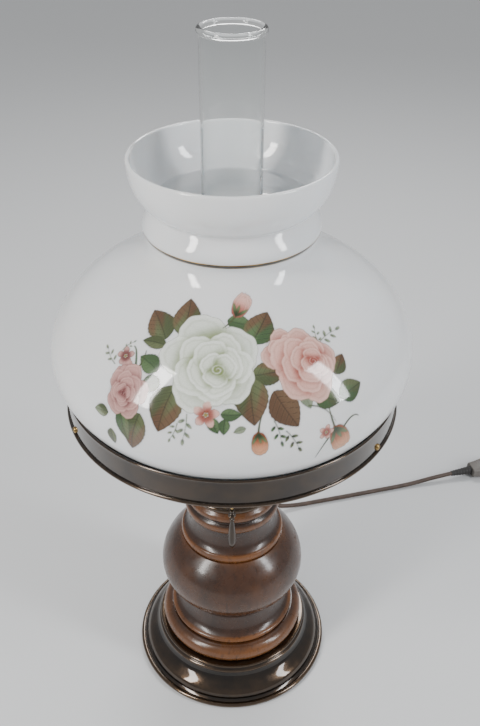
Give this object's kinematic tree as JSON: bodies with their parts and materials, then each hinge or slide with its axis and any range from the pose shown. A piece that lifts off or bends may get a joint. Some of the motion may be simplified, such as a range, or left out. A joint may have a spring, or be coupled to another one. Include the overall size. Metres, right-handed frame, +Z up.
{
  "type": "oil lamp",
  "caption": "Table lamp in oil-lamp style: turned walnut column on a spun bronze foot, flowered opal glass shade in a metal ring, clear glass chimney, pull chain and cord.",
  "frame": {"origin": "centre of the foot, on the surface that the lamp stands on", "axes": "+Z up along the column, -Y towards the front, where the pull chain hangs, +X to the right seen from the front"},
  "size_m": [0.4965, 0.3959, 0.593],
  "materials": {
    "felt": "woven wool felt",
    "dark_bronze": "polished dark bronze lacquer",
    "cast_iron": "raw casting",
    "zinc_steel": "zinc plated",
    "walnut": "dark stained, satin lacquer",
    "old_brass": "aged, satin",
    "black_phenolic": "moulded",
    "nickel": "nickel plated",
    "black_rubber": "moulded",
    "cord_brown": "smooth sheath",
    "plug_grey": "moulded",
    "opal_glass": "milk-white, gloss, painted flowers and a gold line",
    "clear_glass": "clear, fire-polished lip",
    "bulb_glass": "clear",
    "tungsten": "drawn wire"
  },
  "bodies": {
    "base": {"felt_pad": "felt", "spun_foot": "dark_bronze", "ballast_weight": "cast_iron", "base_washer": "zinc_steel", "base_nut": "zinc_steel", "threaded_pipe": "zinc_steel", "column_torus": "walnut", "column_body": "walnut", "column_capital": "walnut", "column_cap": "dark_bronze", "neck_vase": "dark_bronze", "shade_spider": "dark_bronze", "hub_nut": "old_brass", "gallery_ring": "dark_bronze", "ring_screws": "old_brass", "holder_cup": "old_brass", "holder_body": "black_phenolic", "holder_shell": "nickel", "centre_contact": "old_brass", "chimney_holder": "old_brass", "holder_ring": "black_phenolic", "switch_box": "black_phenolic", "switch_cover": "black_phenolic", "lever_pin": "zinc_steel", "return_spring": "zinc_steel", "switch_arm": "old_brass", "foot_relief": "black_rubber", "inner_lead": "cord_brown", "cord_tail": "cord_brown", "cord_coil": "cord_brown", "cord_ties": "black_rubber", "cord_run": "cord_brown", "plug_relief": "black_rubber", "plug_body": "plug_grey", "plug_pins": "nickel"},
    "shade": {"opal_shade": "opal_glass"},
    "chimney": {"chimney": "clear_glass"},
    "bulb": {"bulb_contact": "zinc_steel", "bulb_insulator": "black_phenolic", "bulb_cap": "nickel", "bulb_glass": "bulb_glass", "bulb_stem": "bulb_glass", "bulb_filament": "tungsten"},
    "lever": {"switch_lever": "old_brass"},
    "inner_chain": {"chain_inner": "old_brass"},
    "pull": {"chain_upper": "old_brass"},
    "hanging_chain": {"chain_drop": "old_brass"},
    "fob": {"fob_bell": "dark_bronze", "fob_drop": "dark_bronze"}
  },
  "joints": [
    {"name": "shade_lift", "type": "slide", "parent": "base", "child": "shade", "axis": [0, 0, 1], "range_m": [0, 0.3]},
    {"name": "chimney_lift", "type": "slide", "parent": "base", "child": "chimney", "axis": [0, 0, 1], "range_m": [0, 0.26]},
    {"name": "bulb_turn", "type": "hinge", "parent": "base", "child": "bulb", "pos_m": [0, 0, 0.34], "axis": [0, 0, 1], "continuous": true},
    {"name": "chain_pull", "type": "slide", "parent": "base", "child": "pull", "axis": [0, 0, -1], "range_m": [0, 0.008], "stiffness_N_per_m": 300, "springref_m": -0.001},
    {"name": "inner_chain_slide", "type": "slide", "parent": "base", "child": "inner_chain", "axis": [0, -1, 0], "range_m": [0, 0.008]},
    {"name": "lever_turn", "type": "hinge", "parent": "base", "child": "lever", "pos_m": [0, -0.024, 0.3058], "axis": [1, 0, 0], "range_deg": [0, 47.16]},
    {"name": "chain_swing", "type": "hinge", "parent": "pull", "child": "hanging_chain", "pos_m": [0, -0.05, 0.29617], "axis": [1, 0, 0], "range_deg": [-25, 1.5]},
    {"name": "fob_swing", "type": "hinge", "parent": "hanging_chain", "child": "fob", "pos_m": [0, -0.05, 0.22137], "axis": [0, 1, 0], "range_deg": [-30, 30]}
  ],
  "couplings": [
    {"joint": "inner_chain_slide", "follows": "chain_pull", "ratio": 1},
    {"joint": "lever_turn", "follows": "chain_pull", "rad_per_m": 102.87}
  ]
}
